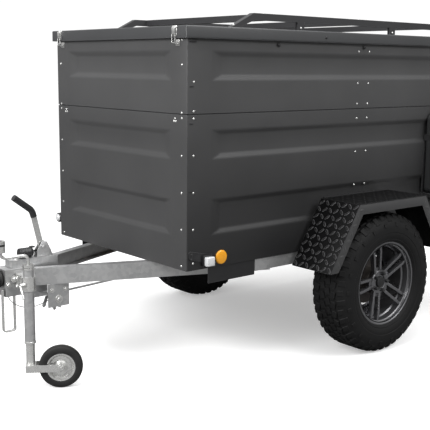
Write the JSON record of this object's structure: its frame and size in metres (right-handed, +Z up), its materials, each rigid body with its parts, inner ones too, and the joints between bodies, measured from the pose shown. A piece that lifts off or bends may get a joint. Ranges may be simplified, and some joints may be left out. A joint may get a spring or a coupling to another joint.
{
  "type": "off-road box trailer",
  "caption": "Single-axle off-road box trailer with ribbed lockable box, hinged lid, roof rack, chequer-plate mudguards, overrun drawbar and jockey wheel.",
  "frame": {"origin": "on the ground, midway along, across and under the whole trailer", "axes": "+X forwards to the coupling, +Y to the left, +Z up"},
  "size_m": [3.394, 1.7, 1.715],
  "materials": {
    "plywood": "phenolic-faced plywood",
    "box_paint": "satin anthracite powder coat",
    "lid_paint": "satin anthracite powder coat",
    "rack_paint": "fine matt black powder coat",
    "zinc": "bright zinc plate",
    "galvanised": "hot-dip galvanised",
    "black_steel": "matt black",
    "tyre": "matt rubber",
    "rim_paint": "satin anthracite",
    "cast_iron": "dark",
    "checker_plate": "black coated chequer plate",
    "rubber": "matt",
    "black_plastic": "fine grain",
    "lamp_red": "clear gloss lens",
    "lamp_clear": "clear gloss lens",
    "can_paint": "satin",
    "lead_sheath": "matt",
    "steel_cable": "stranded"
  },
  "bodies": {
    "chassis": {"floor_panel": "plywood", "front_wall_lower": "box_paint", "left_wall_lower": "box_paint", "right_wall_lower": "box_paint", "front_wall_upper": "box_paint", "left_wall_upper": "box_paint", "right_wall_upper": "box_paint", "rear_wall_upper": "box_paint", "corner_posts": "box_paint", "tailgate_hinges": "zinc", "lid_hinges": "zinc", "chassis_rails": "galvanised", "crossmembers": "galvanised", "drawbar_left": "galvanised", "drawbar_right": "galvanised", "drawbar_nose": "galvanised", "overrun_housing": "galvanised", "linkage_plates": "galvanised", "brake_rod": "galvanised", "axle_beam": "galvanised", "swing_arms": "galvanised", "skirt_plates": "black_steel", "fender_left": "checker_plate", "fender_right": "checker_plate", "fender_brackets": "black_steel", "coupling_head": "galvanised", "coupling_handle": "black_plastic", "gaiter": "rubber", "handbrake_lever": "zinc", "handbrake_grip": "black_plastic", "jockey_outer_tube": "galvanised", "jockey_clamp": "zinc", "jockey_crank": "zinc", "light_bar": "black_steel", "tail_lamps": "lamp_red", "marker_lamps": "lamp_clear", "jerry_can": "can_paint", "can_cap": "black_plastic", "can_holder": "black_steel", "lead_plug": "black_plastic", "lighting_lead": "lead_sheath", "breakaway_cable": "steel_cable"},
    "lid": {"lid": "lid_paint", "roof_rails": "rack_paint", "crossbars": "rack_paint", "lid_latches": "zinc"},
    "tailgate": {"tailgate": "box_paint"},
    "wheel_left": {"tyre_left": "tyre", "rim_left": "rim_paint", "brake_drum_left": "cast_iron"},
    "wheel_right": {"tyre_right": "tyre", "rim_right": "rim_paint", "brake_drum_right": "cast_iron"},
    "jockey_leg": {"jockey_inner_tube": "zinc"},
    "jockey_fork": {"jockey_fork": "zinc"},
    "jockey_wheel": {"jockey_tyre": "rubber", "jockey_rim": "zinc"}
  },
  "joints": [
    {"name": "wheel_left_spin", "type": "hinge", "parent": "chassis", "child": "wheel_left", "pos_m": [-0.415, 0.7225, 0.366], "axis": [0, 1, 0], "continuous": true},
    {"name": "wheel_right_spin", "type": "hinge", "parent": "chassis", "child": "wheel_right", "pos_m": [-0.415, -0.7225, 0.366], "axis": [0, 1, 0], "continuous": true},
    {"name": "jockey_slide", "type": "slide", "parent": "chassis", "child": "jockey_leg", "axis": [0, 0, -1], "range_m": [-0.02, 0.18]},
    {"name": "jockey_swivel", "type": "hinge", "parent": "jockey_leg", "child": "jockey_fork", "pos_m": [1.273, 0.141, 0.18], "axis": [0, 0, 1], "continuous": true},
    {"name": "jockey_wheel_spin", "type": "hinge", "parent": "jockey_fork", "child": "jockey_wheel", "pos_m": [1.15766, 0.21307, 0.1], "axis": [-0.5299, -0.848, 0], "continuous": true},
    {"name": "lid_hinge", "type": "hinge", "parent": "chassis", "child": "lid", "pos_m": [-1.68, 0, 1.6], "axis": [0, -1, 0], "range_deg": [0, 60]},
    {"name": "tailgate_hinge", "type": "hinge", "parent": "chassis", "child": "tailgate", "pos_m": [-1.662, 0, 0.55], "axis": [0, -1, 0], "range_deg": [0, 90]}
  ]
}
